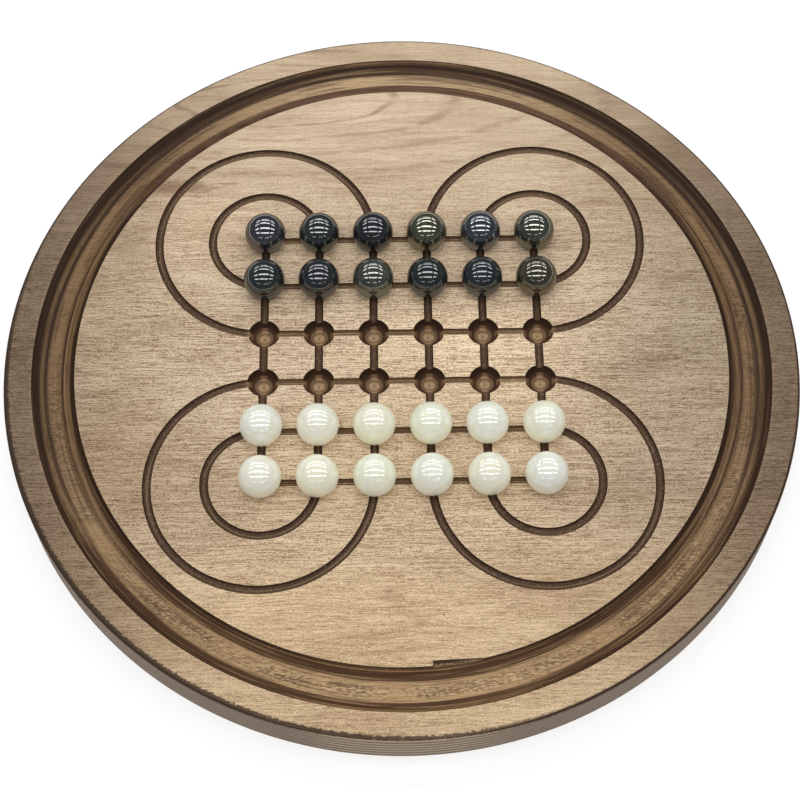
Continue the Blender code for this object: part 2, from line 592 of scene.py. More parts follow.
@dataclass(frozen=True)
class PlywoodFinish:
    """Stained and lacquered birch plywood, with its plies, glue lines, scorched edges and painted
    shade.
    """

    plies: int = 13
    glue_mm: float = 0.075
    tilt_mm: float = 0.20
    sag_mm: float = 0.35
    wave_mm: float = 4.0
    ply_shift_mm: float = 9.7
    patch_mm: tuple[float, ...] = (60, 22, 40)
    streak_mm: tuple[float, ...] = (34, 2.6, 8)
    line_mm: tuple[float, ...] = (18, 0.55, 3)
    fleck_mm: tuple[float, ...] = (3.6, 0.45, 1)
    grit_mm: tuple[float, ...] = (0.9, 0.38, 1)
    growth_drift_mm: tuple[float, ...] = (38, 15, 40)
    growth_break_mm: tuple[float, ...] = (12, 4, 10)
    most_brown: float = 0.85
    face_roughness: float = 0.50
    cut_roughening: float = 0.15
    refraction: float = 1.3
    face_light: Colour = shade_of(240, 216, 184)
    face_dark: Colour = shade_of(168, 137, 106)
    # Painted shade, darkening the face towards its left and right.
    painted_side_shade: Colour = shade_of(208, 205, 202)
    fleck: Colour = shade_of(112, 84, 58)
    figure_line: Colour = shade_of(132, 100, 72)
    blotch: Colour = shade_of(132, 98, 72)
    # Painted shade, darkening the rim towards its left and right.
    painted_rim_shade: Colour = shade_of(190, 184, 180)
    near_warmth: Colour = (0.98, 0.93, 0.83)
    # Painted shade, darkening the trough towards its left and right.
    trough_painted_shade: Colour = (0.46, 0.40, 0.34)
    # The steep colours are darker copies of the flat ones, used as painted shade on steep walls.
    long_flat: Colour = shade_of(204, 173, 134)
    long_steep: Colour = shade_of(130, 100, 68)
    end_flat: Colour = shade_of(104, 77, 54)
    end_steep: Colour = shade_of(68, 45, 28)
    side_long: Colour = shade_of(196, 174, 150)
    side_end: Colour = shade_of(128, 110, 93)
    glue: Colour = shade_of(70, 45, 28)
    # Scorch on the cuts' top edges and in the band at the rim's outer edge; also painted shade on the
    # socket far walls and the trough's outer wall.
    scorch_and_shade: Colour = shade_of(50, 31, 17)
    char: Colour = shade_of(82, 59, 43)
    glint: Colour = shade_of(158, 138, 120)
    socket_floor: Colour = shade_of(176, 142, 106)
    # Painted glints among the torn grain.
    painted_torn_glint: Colour = shade_of(232, 212, 186)
    torn: Colour = shade_of(84, 64, 50)
    lip: Colour = shade_of(108, 78, 62)
    tones: tuple[ToneSpot, ...] = (
        ToneSpot((-15, 108), (70, 30), (1.12, 1.12, 1.15)),
        ToneSpot((-104, 30), (40, 60), (1.06, 1.06, 1.04)),
        ToneSpot((-108, -45), (36, 44), (0.84, 0.78, 0.72)),
        ToneSpot((110, 10), (50, 90), (0.90, 0.93, 0.95)),
        ToneSpot((-20, -104), (110, 36), (1.08, 1.06, 1.02)),
        ToneSpot((-80, 62), (32, 32), (1.22, 1.22, 1.22)),
        ToneSpot((60, -92), (50, 30), (0.90, 0.87, 0.84)),
        ToneSpot((22, 10), (70, 50), (1.22, 1.22, 1.20)),
        ToneSpot((-78, -55), (34, 40), (0.86, 0.84, 0.82)),
        ToneSpot((84, -58), (38, 44), (0.84, 0.83, 0.83)),
    )
    blotches: tuple[Blotch, ...] = (
        Blotch((-88, 79), (15, 4.5), 0.55),
        Blotch((-86.5, 79.3), (2.2, 1.6), 0.75),
        Blotch((-84, 88.6), (3.2, 0.5), 0.6),
        Blotch((-68.7, 80.6), (5, 0.6), 0.5),
        Blotch((-108, 52), (14, 12), 0.28),
        Blotch((118, -62), (16, 7), 0.22),
        Blotch((13.8, -106), (0.6, 0.5), 0.9),
    )
    figures: tuple[GrainFigure, ...] = (
        GrainFigure((-46, 121), (43, 11.5), (1.0, 1.66, 2.3, 3.1), 0.56, 0.40, 0.085),
        GrainFigure((-60, -101), (64, 15), (1.0, 1.5), 0.245, 0.88, 0.07),
        GrainFigure((95, 20), (75, 12), (1.0, 2.0, 3.1), 0.175, 0.80, 0.06),
    )

    def material(self, layout: Layout, sizes: "CutSizes") -> bpy.types.Material:
        """Builds the node material.

        Args:
            layout: The board's main sizes.
            sizes: The sizes of what is cut into it.

        Returns:
            The material.
        """
        graph = Graph(bpy.data.materials.new("stained_birch_plywood"))
        wood = Wood(graph, layout, self)
        is_cut = wood.depth.rises(0.015, 0.05) * wood.z.rises(0.015, 0.05)
        face, face_relief = self.face(wood)
        walls, wall_relief = self.walls(wood, CutSurface(wood, sizes))
        return graph.finish(
            Base_Color=graph.mix(is_cut, face, walls),
            Roughness=self.face_roughness + is_cut * self.cut_roughening,
            Normal=graph.bump(face_relief + (wall_relief - face_relief) * is_cut),
            IOR=self.refraction,
        )

    def face(self, wood: Wood) -> tuple[Socket, Signal]:
        """The lacquered face: streaks, flecks, growth lines, blotches, and painted shade towards its
        left and right.

        Args:
            wood: The place in the plywood.

        Returns:
            The colour and the height in millimetres.
        """
        graph, x, y = wood.graph, wood.x, wood.y
        patches = wood.fibres(self.patch_mm)
        streaks = wood.fibres(self.streak_mm, 3, 0.6, 0.35)
        lines = wood.fibres(self.line_mm, 2, 0.55)
        flecks = wood.fibres(self.fleck_mm, 2, 0.6)
        grit = wood.fibres(self.grit_mm, 1)
        # The grain shows most on the near half, and a little less again by the near edge.
        crisp = (y.falls(10, 110) + 0.35) * (1 - y.falls(-110, -60) * 0.4)
        fine = lines * 1.9 + flecks * 1.7 + grit * 2.0 - 2.8
        tone = patches * 0.7 + streaks * 0.8 + fine * crisp - 0.30
        colour = graph.mix(tone.at_least(0).at_most(1), self.face_light, self.face_dark)
        dark_fleck = flecks.rises(0.56, 0.72) * (lines.rises(0.35, 0.6) * 0.7 + 0.3)
        drift = wood.fibres(self.growth_drift_mm, 2, 0.35) - 0.5
        broken = wood.fibres(self.growth_break_mm).rises(0.30, 0.58)
        ragged = wood.fibres((5, 2.2, 5), 3, 0.65) - 0.5
        brown = sum(blotch.share(wood, ragged) for blotch in self.blotches).at_most(self.most_brown)
        growth = [(figure.share(wood, drift) * broken, self.figure_line) for figure in self.figures]
        layers = [(dark_fleck * crisp * 0.6, self.fleck), *growth, (brown, self.blotch)]
        colour = graph.layered(colour, *layers)

        # Painted shade: the face is darker towards its left and right, and more so on the rim there.
        shaded_sides = (abs(x) + (patches - 0.5) * 60).rises(45, 150)
        rim = wood.radius.rises(wood.edge - 14, wood.edge - 9) * abs(x).rises(55, 150)
        tints = [(spot.outward(wood).falls(0, 1), spot.shade) for spot in self.tones]
        tints += [(shaded_sides, self.painted_side_shade), (y.falls(-140, -30), self.near_warmth)]
        colour = graph.layered(colour, *tints, (rim, self.painted_rim_shade), blend="MULTIPLY")
        # A dark, ragged band along the rim's outer edge, in the scorch colour.
        colour = graph.mix(self.ragged_dark_edge(wood), colour, self.scorch_and_shade)
        return colour, streaks * 0.03 + lines * 0.03 + flecks * 0.02

    @staticmethod
    def ragged_dark_edge(wood: Wood) -> Signal:
        """The dark, ragged band along the rim's outer edge, widest on the near left."""
        ragged = wood.fibres((1.6, 0.9, 1), 3, 0.7) - 0.5
        corner = (wood.x * -0.7 - wood.y * 0.7).rises(20, 120)
        start = wood.edge - 1.3 - corner * 1.1
        return (wood.radius - start + ragged * 3.2).rises(0.0, 0.7) * (corner * 0.45 + 0.45)

    def walls(self, wood: Wood, cut: CutSurface) -> tuple[Socket, Signal]:
        """The cut surfaces, with everything that lies on them, in the order it is laid.

        Args:
            wood: The place in the plywood.
            cut: The place on the cuts.

        Returns:
            The colour and the height in millimetres.
        """
        layers = [*self.grooves(wood, cut), *self.sockets(cut)]
        colour = wood.graph.layered(self.plies_in_section(wood, cut), *layers)
        colour, relief = self.trough(wood, cut, colour)
        colour = wood.graph.layered(colour, *self.scorched(wood, cut))
        return colour, cut.pores * 0.05 + cut.torn * 0.10 + cut.streaks * 0.03 + relief

    def plies_in_section(self, wood: Wood, cut: CutSurface) -> Socket:
        """Plies that are light along the grain and dark across it, with painted shade on steep walls
        and glue lines between them.

        Args:
            wood: The place in the plywood.
            cut: The place on the cuts.

        Returns:
            The colour.
        """
        graph = wood.graph
        # Painted shade: each grain is lighter on flat cuts and darker on steep walls.
        long_grain = graph.mix(cut.steep, self.long_flat, self.long_steep)
        long_grain = graph.mix(cut.streaks.rises(0.38, 0.68) * 0.45, long_grain, self.end_flat)
        end_grain = graph.mix(cut.steep, self.end_flat, self.end_steep)
        end_grain = graph.mix(cut.pores.rises(0.45, 0.75) * 0.35, end_grain, self.long_steep)
        colour = graph.mix(cut.end, long_grain, end_grain)
        side = graph.mix(cut.end * (wood.odd * 0.35 + 0.65), self.side_long, self.side_end)
        side = graph.mix(cut.streaks.rises(0.4, 0.7) * 0.35, side, self.side_end)
        colour = graph.mix(cut.side, colour, side)

        seam = (wood.layer + 0.5).floor()
        inside = seam.rises(0.4, 0.6) * seam.falls(self.plies - 0.6, self.plies - 0.4)
        from_seam = abs(wood.layer - seam) * wood.ply - cut.side * 0.10
        glue = from_seam.falls(self.glue_mm * 0.5, self.glue_mm * 1.6) * inside
        return graph.mix(glue * (0.75 - cut.side * 0.2), colour, self.glue)

    def grooves(self, wood: Wood, cut: CutSurface) -> list[Layer]:
        """Charred lines and loops with a few painted glints. Lines along the grain stay lighter.

        Args:
            wood: The place in the plywood.
            cut: The place on the cuts.

        Returns:
            The colours to lay over the plies.
        """
        glints = wood.noise((1.0, 1.0, 1.0), 2, 0.6).rises(0.56, 0.66)
        return [
            (cut.charred * 0.78, self.char),
            # Painted glints: light specks in the charred grooves.
            (cut.charred * glints * 0.35, self.glint),
            (cut.row_groove * cut.torn.rises(0.4, 0.6) * 0.35, self.end_flat),
        ]

    def sockets(self, cut: CutSurface) -> list[Layer]:
        """Sockets with a light floor, the cutter's ring marks and painted shade on the far wall.

        Args:
            cut: The place on the cuts.

        Returns:
            The colours to lay over the plies.
        """
        marks = cut.from_middle.near(2.3, 0.35) + cut.from_middle.near(0.2, 0.5)
        marks = (marks + cut.from_middle.near(3.6, 0.3) * 0.6).at_most(1)
        # Painted shade: the far wall of each socket, darkened in the scorch colour.
        far_wall_shade = (cut.from_y + cut.ragged).rises(0.8, 2.6) * cut.from_middle.rises(4.2, 4.9)
        return [
            (cut.socket * (1 - cut.steep) * 0.7, self.socket_floor),
            (cut.socket * marks * 0.65, self.end_steep),
            (cut.socket * far_wall_shade * 0.75, self.scorch_and_shade),
        ]

    def trough(self, wood: Wood, cut: CutSurface, colour: Socket) -> tuple[Socket, Signal]:
        """The rim trough: turned rings all round, torn grain with painted glints on its near side,
        and painted shade at its left and right.

        Args:
            wood: The place in the plywood.
            cut: The place on the cuts.
            colour: The colour so far.

        Returns:
            The colour and the trough's own height in millimetres.
        """
        graph, radius = wood.graph, wood.radius
        outwards = 1 - radius.rises(cut.middle - 2, cut.middle + 2) * 2
        run = radius + wood.depth * outwards * 0.8 + cut.ragged * 0.5
        rings = graph.noise(graph.joined(run, wood.x, wood.y), (0.8, 42, 42), 2, 0.6)
        torn_area = wood.noise((22, 22, 22)).rises(0.38, 0.58) * wood.y.falls(10, 60) * cut.trough
        band = (radius + (cut.torn - 0.5) * 4).near(cut.middle + 0.2, 4.2).rises(0, 0.8) * torn_area
        dashes = wood.fibres((1.7, 0.6, 0.8), 2, 0.65)
        colour = graph.layered(
            colour,
            (cut.trough * rings.rises(0.50, 0.60) * 0.50, self.end_steep),
            (cut.trough * rings.falls(0.38, 0.47) * 0.35, self.long_flat),
            (band * dashes.rises(0.46, 0.58) * 0.55, self.torn),
            # Painted glints: light dashes among the torn grain.
            (band * dashes.falls(0.36, 0.45) * 0.45, self.painted_torn_glint),
        )
        near_end = cut.trough * wood.y.falls(-100, -40)
        # Painted shade: the trough is darkened towards its left and right.
        tints = (cut.flank, self.trough_painted_shade), (near_end, self.near_warmth)
        colour = graph.layered(colour, *tints, blend="MULTIPLY")
        return colour, band * dashes * 0.2 + rings * cut.trough * 0.1

    def scorched(self, wood: Wood, cut: CutSurface) -> list[Layer]:
        """Scorch along the top of every cut and on the trough's far lip, and painted shade on its
        outer wall.

        Args:
            wood: The place in the plywood.
            cut: The place on the cuts.

        Returns:
            The colours to lay over all the others.
        """
        reach = 0.30 + cut.field * 0.15 + cut.charred * 0.22 + cut.socket * 0.5
        reach = reach + cut.inner_wall * (cut.flank * 0.6 + 0.25)
        reach = reach + cut.rim_edge * abs(wood.x).rises(10, 70) * 0.6
        burnt = (wood.depth + cut.ragged * 1.1 - reach).falls(-0.25, 0.2)

        outwards = wood.radius + cut.ragged - cut.middle
        # Painted shade: dark bands down the trough's outer wall, on its far half and sides.
        outer_wall_shade = outwards.near(6.2, 1.5) * 0.85 + outwards.near(3.2, 1.5) * 0.5
        outer_wall_shade = (outer_wall_shade + outwards.rises(2, 3) * 0.2) * cut.outer_wall * wood.y.rises(-75, -25)
        far_lip = (outwards + (cut.torn - 0.5) * 4).falls(-4.4, -2.6) * wood.y.rises(50, 100)
        blotchy = wood.noise((7, 3, 3), 3, 0.6).rises(0.36, 0.6) * 0.55 + 0.2
        return [
            (burnt * 0.88, self.scorch_and_shade),
            (outer_wall_shade, self.scorch_and_shade),
            (far_lip * cut.trough * blotchy, self.lip),
        ]


class GlassKind(Enum):
    """The two sets of marbles."""

    DARK = "dark"
    PALE = "pale"


@dataclass(frozen=True)
class DarkGlass:
    """Black glass with a metallic lustre, tinted a little differently on each marble."""

    deep: Colour
    sheen: Colour
    tint: Colour
    refraction: float
    cloud_mm: tuple[float, ...] = (4.5, 4.5, 4.5)
    speck_mm: tuple[float, ...] = (0.8, 0.8, 0.8)
    swirl_mm: tuple[float, ...] = (7, 7, 0.9)

    def material(self, name: str, seed: int) -> bpy.types.Material:
        """Builds the node material.

        Args:
            name: The material's name.
            seed: Shifts the clouds, so that no two marbles match.

        Returns:
            The material.
        """
        graph = Graph(bpy.data.materials.new(name))
        shifted = graph.turned_place(seed)
        clouds = graph.noise(shifted, self.cloud_mm, 3, 0.6, 0.8)
        specks = graph.noise(shifted, self.speck_mm, 2, 0.6)
        swirl = graph.noise(shifted, self.swirl_mm, 2, 0.5, 1.2)
        tone = (clouds * 0.8 + specks * 0.35 + swirl * 0.4 - 0.3).rises(0.25, 0.75)
        colour = graph.mix(tone, self.deep, self.sheen)
        height = clouds * 0.03 + specks * 0.003 + swirl * 0.006
        return graph.finish(
            Base_Color=colour,
            Roughness=specks * 0.06 + 0.01,
            Normal=graph.bump(height),
            IOR=self.refraction,
            Specular_Tint=self.tint,
        )


@dataclass(frozen=True)
class PaleGlass:
    """Opal glass with a pearl lustre: cream clouds, pale green swirls and a faint painted glow."""

    body: Colour
    cloud: Colour
    streak: Colour = shade_of(236, 240, 224)
    glow: Colour = shade_of(250, 250, 224)
    glow_strength: float = 0.05
    refraction: float = 2.1
    cloud_mm: tuple[float, ...] = (5, 5, 5)
    swirl_mm: tuple[float, ...] = (9, 9, 0.8)

    def material(self, name: str, seed: int) -> bpy.types.Material:
        """Builds the node material.

        Args:
            name: The material's name.
            seed: Shifts the clouds, so that no two marbles match.

        Returns:
            The material.
        """
        graph = Graph(bpy.data.materials.new(name))
        shifted = graph.turned_place(seed)
        clouds = graph.noise(shifted, self.cloud_mm, 3, 0.55, 1.0)
        swirl = graph.noise(shifted, self.swirl_mm, 2, 0.5, 1.5)
        colour = graph.mix(clouds.rises(0.35, 0.65), self.body, self.cloud)
        colour = graph.mix(swirl.rises(0.5, 0.7) * 0.4, colour, self.streak)
        height = clouds * 0.02 + swirl * 0.004
        return graph.finish(
            Base_Color=colour,
            Roughness=clouds * 0.04,
            IOR=self.refraction,
            # A faint painted glow stands in for light scattered inside the opal glass.
            Emission_Color=self.glow,
            Emission_Strength=self.glow_strength,
            Normal=graph.bump(height),
        )


# --- Mesh helpers


def arc(middle: tuple[float, float], radius: float, start: float, end: float, steps: int) -> Points:
    """Points of an arc from one angle to another, both ends included."""
    angles = (start + (end - start) * i / steps for i in range(steps + 1))
    return [(middle[0] + radius * math.cos(a), middle[1] + radius * math.sin(a)) for a in angles]


def mesh_object(name: str, shape: bmesh.types.BMesh) -> bpy.types.Object:
    """Turns a bmesh into an object in the scene, and frees it.

    Args:
        name: The object's and the mesh's name.
        shape: The bmesh.

    Returns:
        The object.
    """
    bmesh.ops.recalc_face_normals(shape, faces=shape.faces)
    data = bpy.data.meshes.new(name)
    shape.to_mesh(data)
    shape.free()
    made = bpy.data.objects.new(name, data)
    bpy.context.scene.collection.objects.link(made)
    return made


def bridge(shape: bmesh.types.BMesh, rings: Sequence[Sequence[bmesh.types.BMVert]]) -> None:
    """Joins rings of equal length with quads, and caps both ends.

    Args:
        shape: The bmesh that holds the rings.
        rings: The rings in order, each a closed loop of vertices.
    """
    for first, second in zip(rings, rings[1:]):
        count = len(first)
        for i in range(count):
            j = (i + 1) % count
            shape.faces.new((first[i], first[j], second[j], second[i]))
    shape.faces.new(list(reversed(rings[0])))
    shape.faces.new(rings[-1])


def turned(shape: bmesh.types.BMesh, profile: Points, steps: int, middle: Vector) -> None:
    """Turns a half section round the Z axis through middle.

    Args:
        shape: The bmesh to add to.
        profile: The section as (radius, height). Its first and last points lie on the axis.
        steps: How many steps go round.
        middle: The axis's foot.
    """
    rings = []
    for radius, height in profile[1:-1]:
        ring = []
        for i in range(steps):
            angle = 2 * math.pi * i / steps
            offset = Vector((radius * math.cos(angle), radius * math.sin(angle), height))
            ring.append(shape.verts.new(middle + offset))
        rings.append(ring)
    bridge(shape, rings)


# --- The board


@dataclass(frozen=True)
class CutSizes:
    """The sizes of the sockets, lines, loops and trough that are cut into the face."""

    socket_mouth: float = 0.012
    socket_depth: float = 0.00461
    line_depth: float = 0.0014
    across_width: float = 0.0031
    along_width: float = 0.0025
    loop_width: float = 0.0032
    loop_pitches: tuple[int, ...] = (1, 2)
    loop_turn: float = math.radians(270)
    trough_width: float = 0.0165
    trough_depth: float = 0.0033
    rim_width: float = 0.0106
    edge_round: float = 0.0012

    def trough_inner(self, layout: Layout) -> float:
        """The radius at which the trough begins."""
        return layout.radius - self.rim_width - self.trough_width


@dataclass(frozen=True)
class BallNose:
    """The section of a groove left by a ball-nosed cutter, with a small worn lip."""

    width: float
    depth: float
    lip: float = 0.00018
    lip_turn: float = math.radians(62)
    above: float = 0.0003

    @property
    def radius(self) -> float:
        """The cutter's own radius."""
        return (self.width**2 / 4 + self.depth**2) / (2 * self.depth)

    def half_section(self, steps: int, lip_steps: int = 3) -> Points:
        """Half of the section as (distance from the middle, height over the face).

        Args:
            steps: How many steps the bowl has.
            lip_steps: How many steps the lip has.

        Returns:
            The points, from the groove's bottom to its top, above the face.
        """
        radius = self.radius
        mouth = math.asin((self.depth - self.lip) / radius - 1)
        bowl = arc((0, radius - self.depth), radius, -math.pi / 2, mouth, steps)
        edge = bowl[-1][0]
        turns = [self.lip_turn * (i + 1) / lip_steps for i in range(lip_steps)]
        lip = [(edge + self.lip * (1 - math.cos(a)), -self.lip * (1 - math.sin(a))) for a in turns]
        rise = self.above - lip[-1][1]
        flare = (lip[-1][0] + rise * math.tan(self.lip_turn), self.above)
        return [*bowl, *lip, flare]


@dataclass
class Board:
    """The plywood disc with everything that is cut into it."""

    layout: Layout
    cut: CutSizes = field(default_factory=CutSizes)
    finish: PlywoodFinish = field(default_factory=PlywoodFinish)
    disc_steps: int = 360
    trough_steps: int = 32
    corner_steps: int = 6
    lip: float = 0.0003
    lip_steps: int = 3
    socket_steps: int = 56
    bowl_steps: int = 20
    groove_steps: int = 8
    stride: float = 0.0009
    ragged: float = 0.00010
    tear_step: float = 0.9
    tear_down_step: float = 0.4
    tear_edge_gap: float = 5.0
    tear_seed_gap: float = 13.0
    drift_step: float = 0.06
    drift_seed_gap: float = 7.0
    column_seed: int = 20
    loop_seed: int = 40
    loop_ring_seed: int = 10
    dimple: tuple[float, float] = (0.0005, 0.00018)
    chip_mm: tuple[tuple[float, float], ...] = (
        *((9.4, -126.2), (9.5, -123.1), (15.0, -122.8)),
        *((21.0, -122.6), (27.0, -122.3), (27.5, -123.8)),
    )
    chip_depth: float = 0.00045
    sharp_angle: float = math.radians(32)
    flat: float = 0.9999

    def cove(self) -> Points:
        """The trough's section with its two rounded lips.

        Returns:
            Its points as (radius, height), from the inside out.
        """
        nose = BallNose(self.cut.trough_width, self.cut.trough_depth)
        inner = self.cut.trough_inner(self.layout)
        foot = self.layout.top - self.cut.trough_depth
        middle = (inner + self.cut.trough_width / 2, foot + nose.radius)
        slope = math.asin(self.cut.trough_width / 2 / nose.radius)
        back = self.lip * math.tan(slope / 2)
        sunk = back / nose.radius
        down = -math.pi / 2
        bottom = arc(middle, nose.radius, down - slope + sunk, down + slope - sunk, self.trough_steps)
        lip_middle = (inner - back, self.layout.top - self.lip)
        inner_lip = arc(lip_middle, self.lip, math.pi / 2, math.pi / 2 - slope, self.lip_steps)
        outer_middle = (inner + self.cut.trough_width + back, self.layout.top - self.lip)
        outer_lip = arc(outer_middle, self.lip, math.pi / 2 + slope, math.pi / 2, self.lip_steps)
        return [*inner_lip[:-1], *bottom, *outer_lip[1:]]

    def profile(self) -> Points:
        """Half of the disc's section.

        Returns:
            Its points as (radius, height), from the middle of the face down to the underside.
        """
        edge = self.cut.edge_round
        inset = self.layout.radius - edge
        top = arc((inset, self.layout.top - edge), edge, math.pi / 2, 0, self.corner_steps)
        bottom = arc((inset, edge), edge, 0, -math.pi / 2, self.corner_steps)
        return [(0, self.layout.top), *self.cove(), *top, *bottom, (0, 0)]

    def blank(self) -> bpy.types.Object:
        """The turned disc with its trough."""
        shape = bmesh.new()
        turned(shape, self.profile(), self.disc_steps, Vector())
        return mesh_object("plywood_board", shape)

    def socket_cutters(self) -> bpy.types.Object:
        """All the sockets' cutters, none touching another.

        Returns:
            The cutters as one mesh.
        """
        shape = bmesh.new()
        nose = BallNose(self.cut.socket_mouth, self.cut.socket_depth)
        section = nose.half_section(self.bowl_steps)
        wide, deep = self.dimple
        keep = [point for point in section[1:] if point[0] > wide]
        tip = [(0, -self.cut.socket_depth - deep), (wide, -self.cut.socket_depth)]
        profile = [*tip, *keep, (0, nose.above)]
        for row in range(self.layout.sockets):
            for column in range(self.layout.sockets):
                turned(shape, profile, self.socket_steps, self.layout.place(column, row))
        return mesh_object("socket_cutters", shape)

    def sweep(
        self, shape: bmesh.types.BMesh, nose: BallNose, path: Sequence[Vector], seed: float
    ) -> None:
        """Sweeps a groove's section along a level path, with slightly torn edges.

        Args:
            shape: The bmesh to add to.
            nose: The groove's section.
            path: Points on the face that the groove follows.
            seed: Shifts the tearing, so that no two grooves match.
        """
        half = nose.half_section(self.groove_steps)
        across = [*[(-s, h) for s, h in reversed(half)], *half[1:]]
        rings = []
        for i, point in enumerate(path):
            before, after = path[max(i - 1, 0)], path[min(i + 1, len(path) - 1)]
            side = (after - before).cross(Vector((0, 0, 1))).normalized()
            drift_sample = Vector((i * self.drift_step, seed * self.drift_seed_gap, 0))
            drift = noise.noise(drift_sample) * self.ragged
            ring = []
            for s, h in across:
                near_face = max(0.0, 1 + h / nose.depth)
                edge = math.copysign(1, s)
                lane = edge * self.tear_edge_gap + seed * self.tear_seed_gap
                sample = Vector((i * self.tear_step, lane, h / MM * self.tear_down_step))
                tear = noise.noise(sample) * self.ragged * near_face * edge
                offset = side * (s + tear + drift) + Vector((0, 0, h))
                ring.append(shape.verts.new(point + offset))
            rings.append(ring)
        bridge(shape, rings)

    def straight(self, start: Vector, end: Vector) -> list[Vector]:
        """Points from start to end, one stride apart."""
        count = math.ceil((end - start).length / self.stride)
        return [start.lerp(end, i / count) for i in range(count + 1)]

    def line_cutters(self, name: str, width: float, across: bool) -> bpy.types.Object:
        """The grooves through every row or every column of sockets.

        Args:
            name: The cutters' name.
            width: How wide the grooves are.
            across: Whether they run across the face's grain, through the columns.

        Returns:
            The cutters as one mesh.
        """
        shape = bmesh.new()
        nose = BallNose(width, self.cut.line_depth)
        last = self.layout.sockets - 1
        for line in range(self.layout.sockets):
            spots = ((line, 0), (line, last)) if across else ((0, line), (last, line))
            ends = [self.layout.place(*spot) for spot in spots]
            self.sweep(shape, nose, self.straight(*ends), seed=line + self.column_seed * across)
        return mesh_object(name, shape)

    def loop_cutters(self) -> bpy.types.Object:
        """The loops round each corner socket, each from one side of the grid to the other.

        Returns:
            The cutters as one mesh.
        """
        shape = bmesh.new()
        nose = BallNose(self.cut.loop_width, self.cut.line_depth)
        for pitches in self.cut.loop_pitches:
            radius = pitches * self.layout.pitch
            steps = math.ceil(self.cut.loop_turn * radius / self.stride)
            for quarter in range(4):
                turn = quarter * math.pi / 2
                corner = Matrix.Rotation(turn, 3, "Z") @ Vector((1, 1, 0)) * self.layout.reach
                path = []
                for i in range(steps + 1):
                    angle = turn - math.pi / 2 + self.cut.loop_turn * i / steps
                    spoke = Vector((math.cos(angle), math.sin(angle), 0)) * radius
                    path.append(corner + spoke + Vector((0, 0, self.layout.top)))
                seed = self.loop_seed + quarter + self.loop_ring_seed * pitches
                self.sweep(shape, nose, path, seed)
        return mesh_object("loop_cutters", shape)

    def chip_cutter(self) -> bpy.types.Object:
        """A sliver of face veneer that has broken away at the trough's near edge.

        Returns:
            The cutter.
        """
        shape = bmesh.new()
        levels = (self.layout.top - self.chip_depth, self.layout.top + self.chip_depth)
        rings = [[shape.verts.new((x * MM, y * MM, z)) for x, y in self.chip_mm] for z in levels]
        bridge(shape, rings)
        return mesh_object("chip_cutter", shape)

    def carve(self, board: bpy.types.Object, cutter: bpy.types.Object) -> None:
        """Takes one group of cutters out of the board, and removes the cutters.

        Args:
            board: The board.
            cutter: The cutters as one mesh.
        """
        carve = board.modifiers.new("carve", "BOOLEAN")
        carve.operation = "DIFFERENCE"
        carve.solver = "MANIFOLD"
        carve.object = cutter
        graph = bpy.context.evaluated_depsgraph_get()
        data = bpy.data.meshes.new_from_object(board.evaluated_get(graph))
        board.modifiers.clear()
        board.data = data
        bpy.data.objects.remove(cutter)

    def shade(self, board: bpy.types.Object) -> None:
        """Smooth shading, with sharp edges round the flat faces and at real corners.

        Args:
            board: The board.
        """
        data = board.data
        data.shade_smooth()
        data.set_sharp_from_angle(angle=self.sharp_angle)
        shape = bmesh.new()
        shape.from_mesh(data)
        for edge in shape.edges:
            flats = sum(abs(face.normal.z) > self.flat for face in edge.link_faces)
            if flats == 1:
                edge.smooth = False
        shape.to_mesh(data)
        shape.free()

    def build(self) -> bpy.types.Object:
        """Makes the board, rides it on its body and gives it its finish.

        Returns:
            The board.
        """
        board = self.blank()
        for cutter in (
            self.socket_cutters(),
            self.line_cutters("row_cutters", self.cut.along_width, across=False),
            self.line_cutters("column_cutters", self.cut.across_width, across=True),
            self.loop_cutters(),
            self.chip_cutter(),
        ):
            self.carve(board, cutter)
        self.shade(board)
        board.data.materials.clear()
        board.data.materials.append(self.finish.material(self.layout, self.cut))
        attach(board, "board")
        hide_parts("board")
        return board


# --- The marbles

DARK_GLASSES = tuple(
    DarkGlass(shade_of(*deep), shade_of(*sheen), shade_of(*tint), refraction)
    for deep, sheen, tint, refraction in (
        ((24, 26, 28), (54, 53, 60), (250, 250, 255), 2.5),
        ((20, 24, 24), (36, 42, 42), (248, 255, 252), 2.2),
        ((20, 22, 24), (34, 37, 42), (250, 252, 255), 2.0),
        ((30, 31, 26), (74, 74, 58), (255, 255, 232), 2.8),
        ((24, 27, 30), (54, 60, 70), (248, 252, 255), 2.6),
        ((28, 30, 26), (62, 64, 54), (253, 255, 240), 2.7),
        ((22, 25, 25), (44, 48, 50), (248, 254, 254), 2.1),
        ((20, 23, 24), (40, 44, 48), (250, 252, 255), 2.0),
        ((32, 34, 31), (76, 79, 70), (252, 255, 244), 2.4),
        ((20, 24, 24), (38, 45, 46), (248, 255, 255), 2.0),
        ((22, 25, 28), (42, 48, 54), (248, 252, 255), 2.0),
        ((30, 30, 26), (70, 66, 52), (255, 251, 232), 2.3),
    )
)
PALE_GLASSES = tuple(
    PaleGlass(shade_of(*body), shade_of(*cloud))
    for body, cloud in (
        ((252, 250, 228), (255, 254, 240)),
        ((254, 251, 222), (255, 254, 232)),
        ((250, 252, 224), (254, 255, 236)),
        ((250, 251, 232), (254, 255, 244)),
        ((252, 250, 224), (254, 254, 236)),
        ((248, 248, 230), (252, 254, 246)),
    )
)


